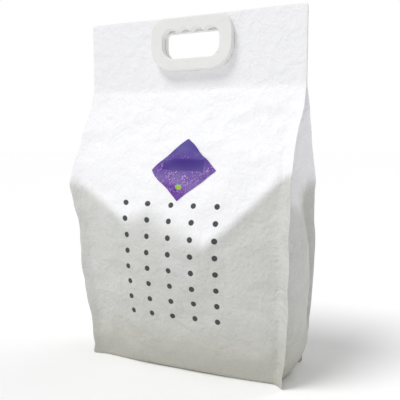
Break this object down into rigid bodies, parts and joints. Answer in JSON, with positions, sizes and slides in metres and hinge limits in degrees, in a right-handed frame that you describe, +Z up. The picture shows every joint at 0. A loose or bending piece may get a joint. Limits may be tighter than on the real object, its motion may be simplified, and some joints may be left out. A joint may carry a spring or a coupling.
{
  "type": "cat litter bag",
  "caption": "Filled white paper-laminate litter bag with a flat sealed header, corner fins, a clip-on carry handle and a diamond-shaped sticker.",
  "frame": {"origin": "on the floor under the middle of the bag's overall box", "axes": "+Z up to the header, +X across the bag to its right as seen from the front, -Y out of the front panel"},
  "size_m": [0.325, 0.1602, 0.48],
  "materials": {
    "paper_laminate": "matt white non-woven paper laminate",
    "handle_plastic": "satin off-white moulded plastic",
    "printed_sticker": "satin printed film, violet"
  },
  "bodies": {
    "root": {"bag": "paper_laminate", "handle_front": "handle_plastic", "handle_back": "handle_plastic", "label": "printed_sticker"}
  },
  "joints": []
}
